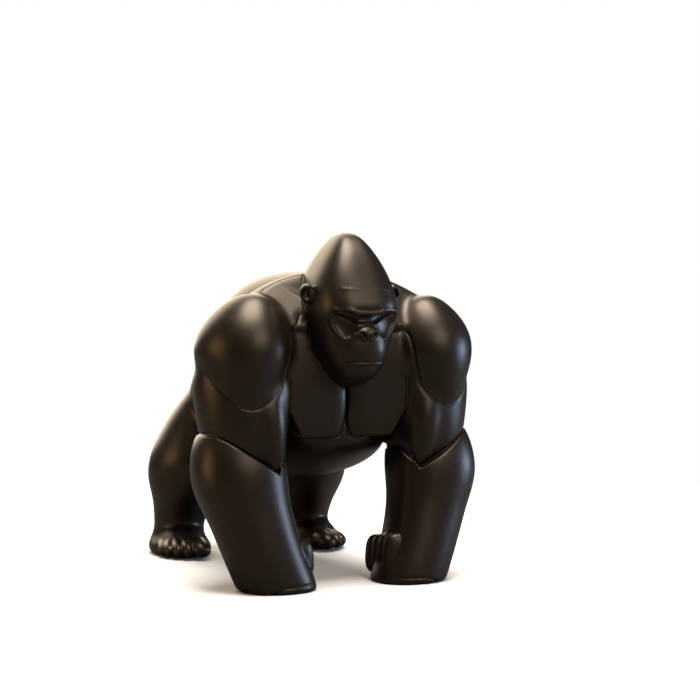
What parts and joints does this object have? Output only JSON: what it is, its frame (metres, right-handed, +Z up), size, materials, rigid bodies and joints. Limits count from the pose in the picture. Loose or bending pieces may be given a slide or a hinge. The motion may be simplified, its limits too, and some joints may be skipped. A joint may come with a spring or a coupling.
{
  "type": "gorilla figurine",
  "caption": "Smooth stylised gorilla statuette standing on its knuckles and feet, a solid casting with a satin dark bronze-look finish, for show on a shelf or desk.",
  "frame": {"origin": "middle of the footprint on the floor under the four soles", "axes": "+Z up, -Y the way the face looks, +X to the animal's left; the two halves mirror each other across X = 0"},
  "size_m": [0.1578, 0.1974, 0.1818],
  "materials": {
    "casting": "satin dark brown bronze-look patina on cast resin"
  },
  "bodies": {
    "root": {"gorilla_figurine": "casting"}
  },
  "joints": []
}
